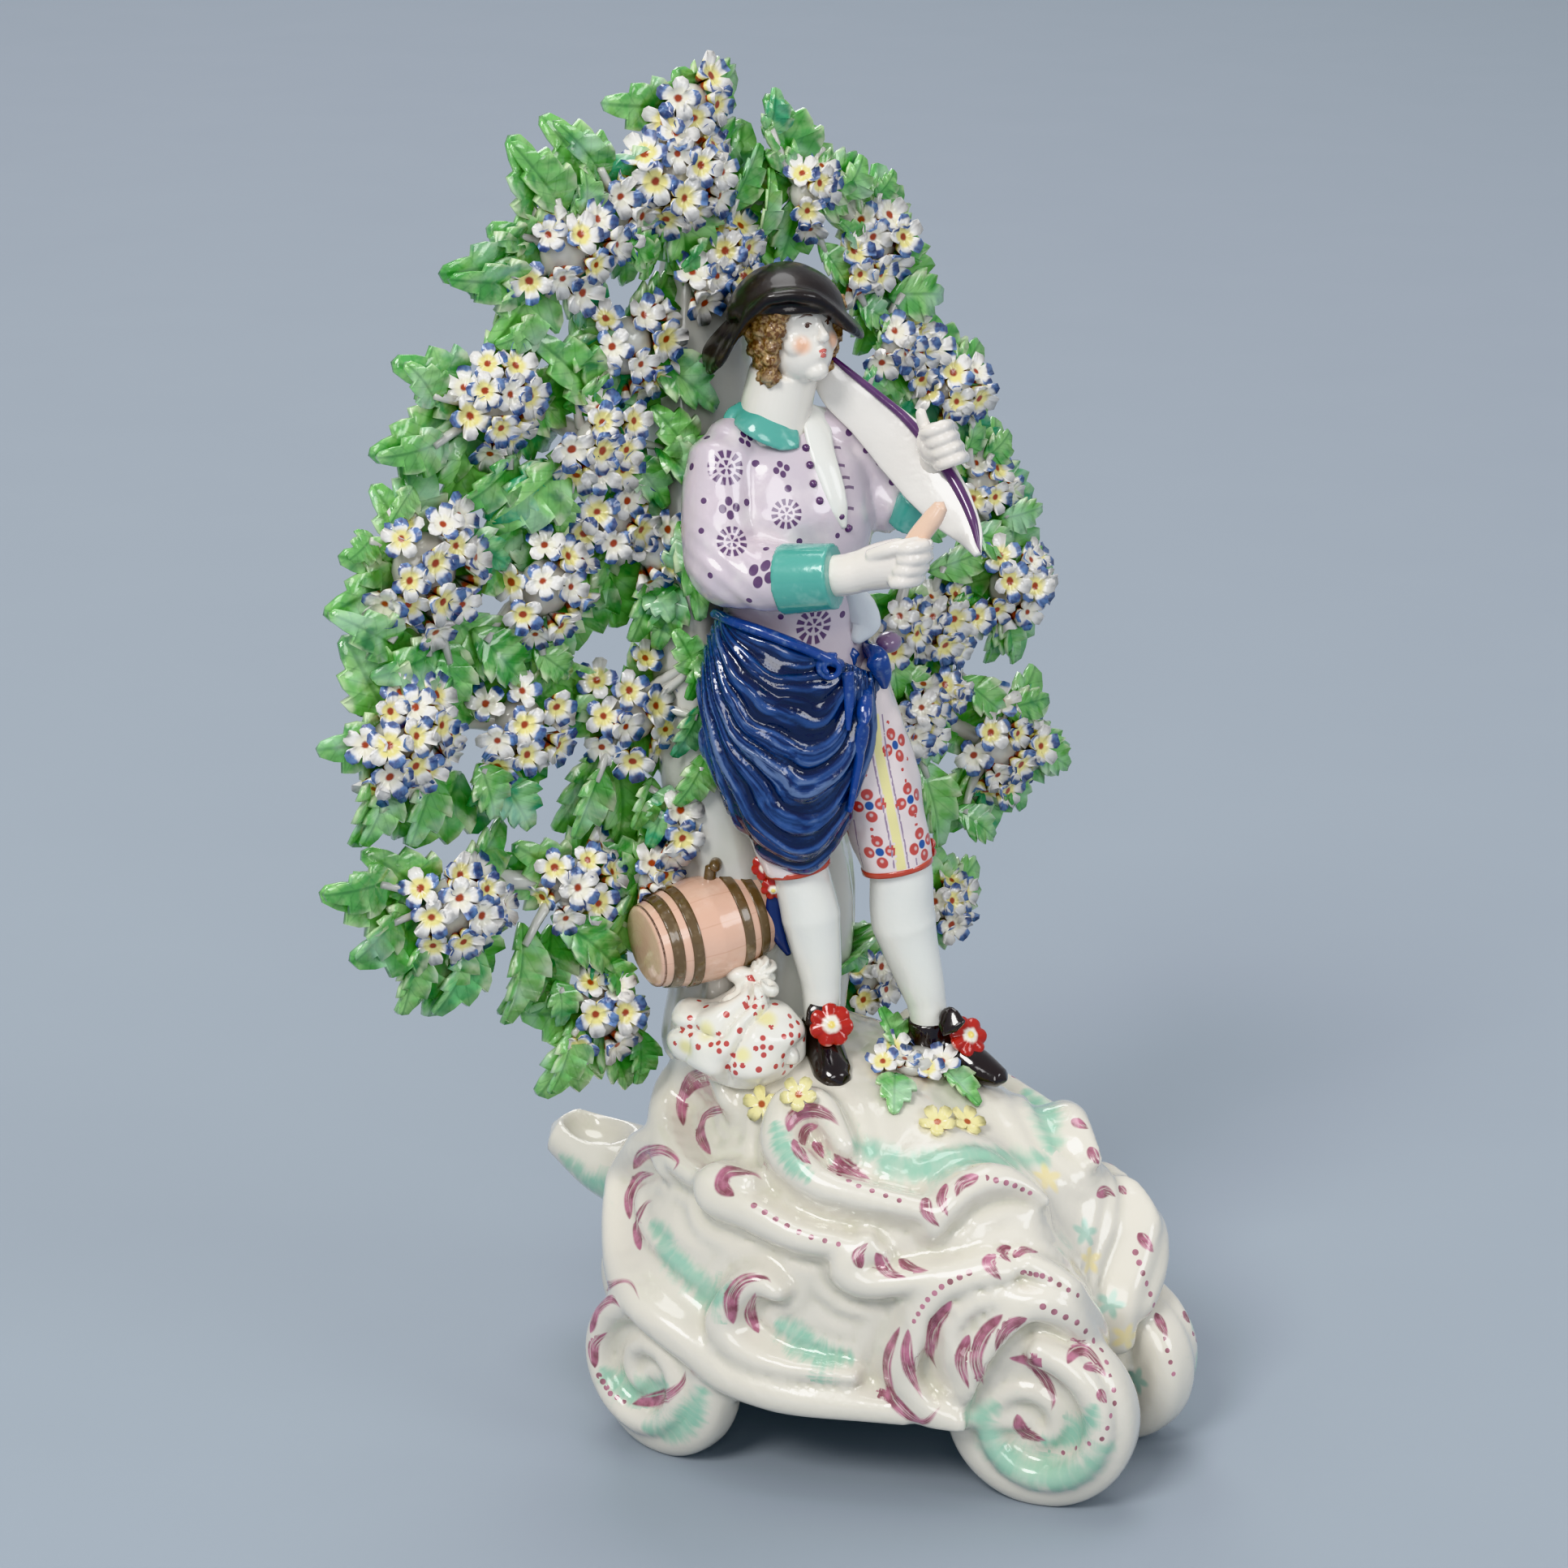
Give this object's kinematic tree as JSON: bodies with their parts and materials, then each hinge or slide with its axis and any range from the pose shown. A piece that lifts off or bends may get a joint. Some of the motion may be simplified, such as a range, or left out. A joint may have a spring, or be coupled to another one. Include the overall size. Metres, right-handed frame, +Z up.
{
  "type": "bocage figure",
  "caption": "Glazed ceramic figure of a countryman whetting a scythe blade before a flowering bush, on a hollow scroll-footed base.",
  "frame": {"origin": "on the ground under the middle of the whole piece's box", "axes": "+Z up along the tree; the figure's front and the bush's face look along -Y"},
  "size_m": [0.1976, 0.1528, 0.289],
  "materials": {
    "glazed_porcelain": "glossy lead glaze over soft white paste, painted in enamels"
  },
  "bodies": {
    "root": {"bocage_figure": "glazed_porcelain"}
  },
  "joints": []
}
